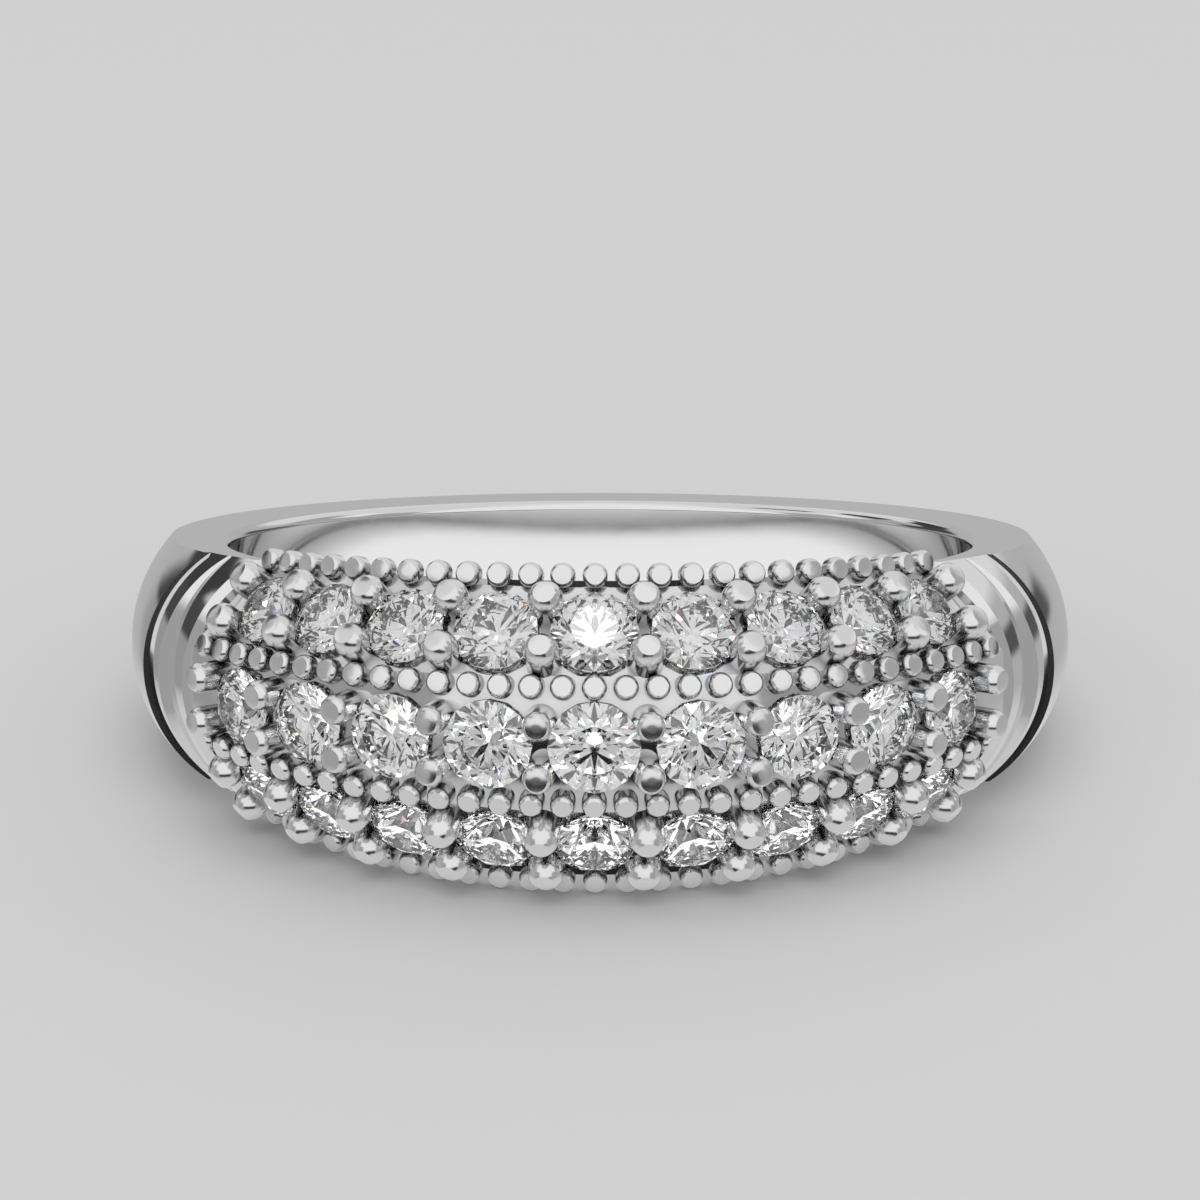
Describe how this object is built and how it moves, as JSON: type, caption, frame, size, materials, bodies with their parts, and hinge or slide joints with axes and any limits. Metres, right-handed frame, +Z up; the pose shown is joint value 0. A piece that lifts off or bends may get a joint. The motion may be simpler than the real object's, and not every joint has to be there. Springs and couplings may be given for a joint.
{
  "type": "dome ring",
  "caption": "Wide finger ring whose domed front is pave set with rows of graduated round stones between rows of small metal pegs, on a tapered, stepped band.",
  "frame": {"origin": "centre of the ring's footprint on the surface that it lies on", "axes": "+Z up as the ring lies on its side, -Y towards the middle of the domed front, +X to the right as the dome is seen from the front"},
  "size_m": [0.0219, 0.0221, 0.0075],
  "materials": {
    "white_gold": "high polish, rhodium-plated white gold",
    "diamond": "faceted and polished, colourless"
  },
  "bodies": {
    "root": {"ring_body": "white_gold", "stone_top_1": "diamond", "stone_top_2": "diamond", "stone_top_3": "diamond", "stone_top_4": "diamond", "stone_top_5": "diamond", "stone_top_6": "diamond", "stone_top_7": "diamond", "stone_top_8": "diamond", "stone_top_9": "diamond", "stone_mid_1": "diamond", "stone_mid_2": "diamond", "stone_mid_3": "diamond", "stone_mid_4": "diamond", "stone_mid_5": "diamond", "stone_mid_6": "diamond", "stone_mid_7": "diamond", "stone_mid_8": "diamond", "stone_mid_9": "diamond", "stone_low_1": "diamond", "stone_low_2": "diamond", "stone_low_3": "diamond", "stone_low_4": "diamond", "stone_low_5": "diamond", "stone_low_6": "diamond", "stone_low_7": "diamond", "stone_low_8": "diamond", "stone_low_9": "diamond"}
  },
  "joints": []
}
